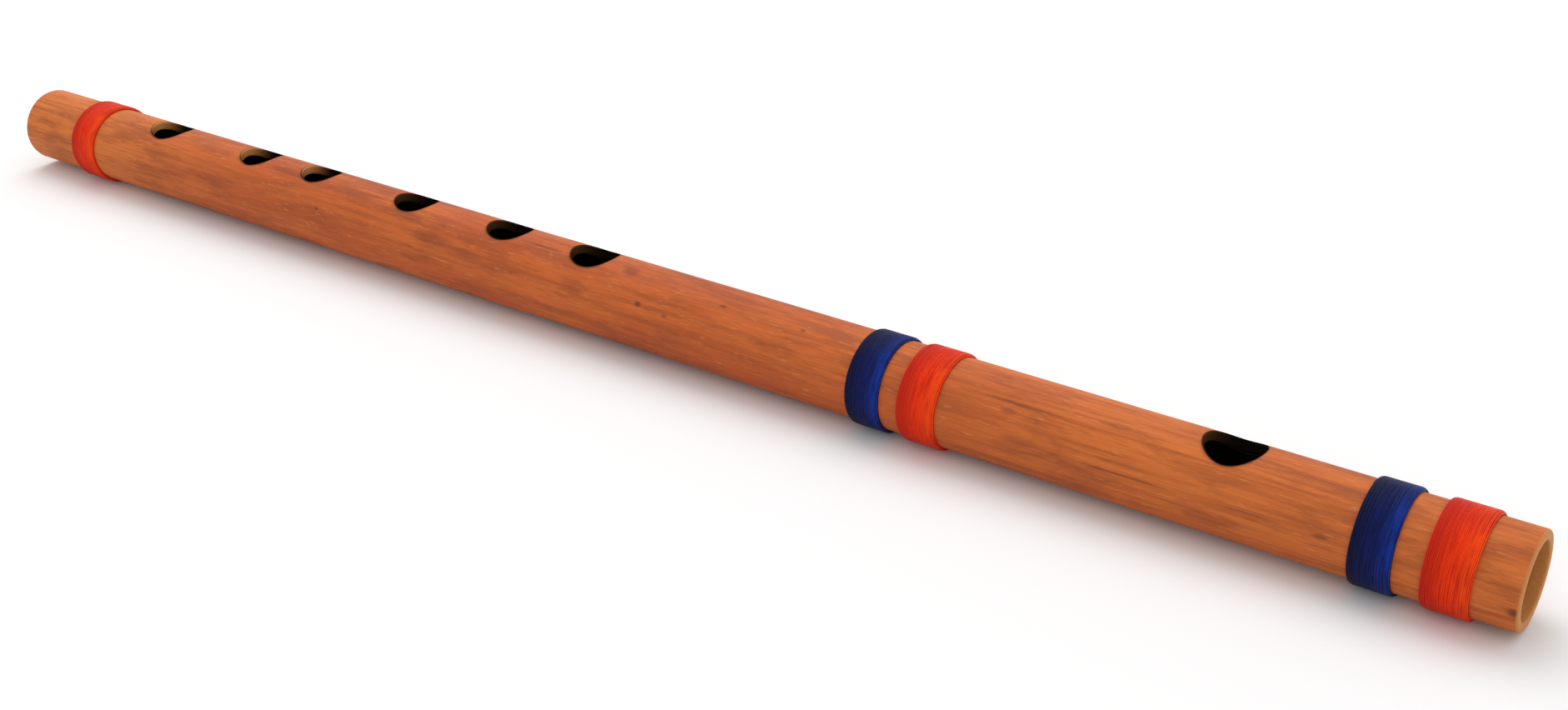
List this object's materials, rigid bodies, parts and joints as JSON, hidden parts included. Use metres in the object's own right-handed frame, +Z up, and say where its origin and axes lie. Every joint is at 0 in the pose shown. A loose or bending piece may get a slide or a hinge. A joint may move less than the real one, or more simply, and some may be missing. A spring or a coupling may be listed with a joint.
{
  "type": "bamboo transverse flute",
  "caption": "Side-blown bamboo flute (bansuri): one bored bamboo tube with finger holes and a blow hole, coloured thread bindings and a cork stopper that slides in the head.",
  "frame": {"origin": "on the surface that the flute lies on, under the middle of its length and its axis", "axes": "+X along the tube from the foot end to the head end with the blow hole, +Z up through the holes, +Y across"},
  "size_m": [0.49, 0.025, 0.0249],
  "materials": {
    "bamboo": "satin honey-brown bamboo with fine lengthwise grain",
    "cork": "matt cork with dark pores",
    "orange_thread": "silky orange thread, close wound",
    "blue_thread": "silky dark blue thread, close wound"
  },
  "bodies": {
    "flute": {"bamboo_tube": "bamboo", "foot_orange_inner_layers": "orange_thread", "foot_orange_thread": "orange_thread", "middle_blue_inner_layers": "blue_thread", "middle_blue_thread": "blue_thread", "middle_orange_inner_layers": "orange_thread", "middle_orange_thread": "orange_thread", "head_blue_inner_layers": "blue_thread", "head_blue_thread": "blue_thread", "head_orange_inner_layers": "orange_thread", "head_orange_thread": "orange_thread"},
    "stopper": {"cork_stopper": "cork"}
  },
  "joints": [
    {"name": "stopper_slide", "type": "slide", "parent": "flute", "child": "stopper", "axis": [1, 0, 0], "range_m": [-0.0095, 0.03]}
  ]
}
